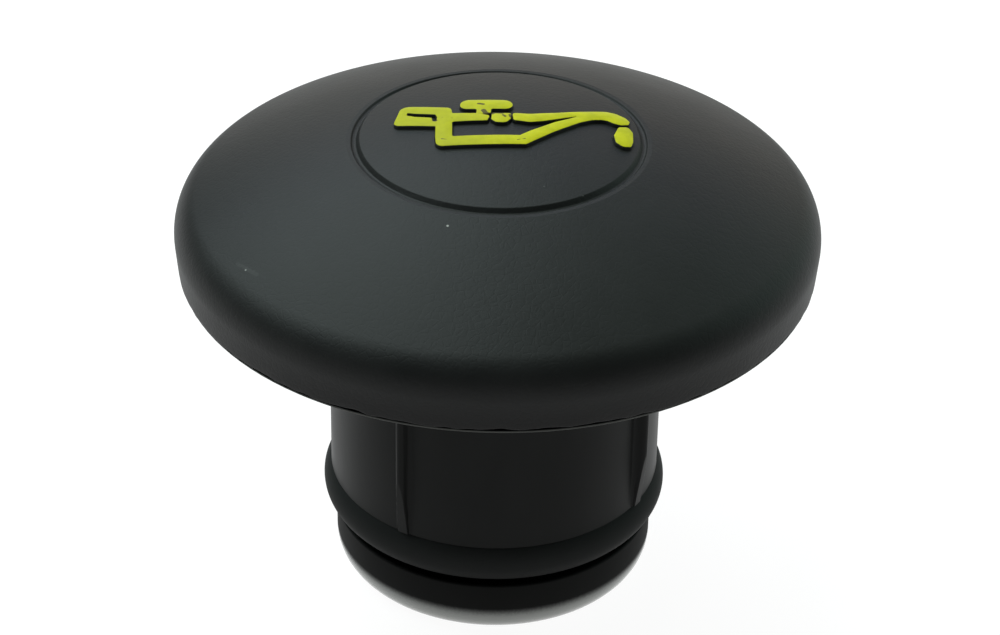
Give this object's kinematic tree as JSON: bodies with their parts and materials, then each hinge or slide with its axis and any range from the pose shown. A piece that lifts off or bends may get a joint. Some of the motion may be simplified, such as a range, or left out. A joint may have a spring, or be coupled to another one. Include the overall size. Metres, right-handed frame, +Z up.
{
  "type": "oil filler cap",
  "caption": "Push-in oil filler cap: domed grained round head with a groove ring and a raised oil can sign, ribbed hollow plug and a rubber sealing ring.",
  "frame": {"origin": "middle of the nose's flat end, at the bottom of the plug", "axes": "+Z up the plug's axis to the crown, -Y the side from which the badge is read, +X to its right"},
  "size_m": [0.074, 0.074, 0.0582],
  "materials": {
    "head_cover": "black, fine leather-like grain, satin",
    "plug_body": "black, smooth as moulded, satin",
    "sealing_ring": "black, smooth, slightly oily sheen",
    "sign_foil": "yellow hot-stamped foil on the tops of the raised sign"
  },
  "bodies": {
    "root": {"head_cover": "head_cover", "plug_body": "plug_body", "sealing_ring": "sealing_ring"}
  },
  "joints": []
}
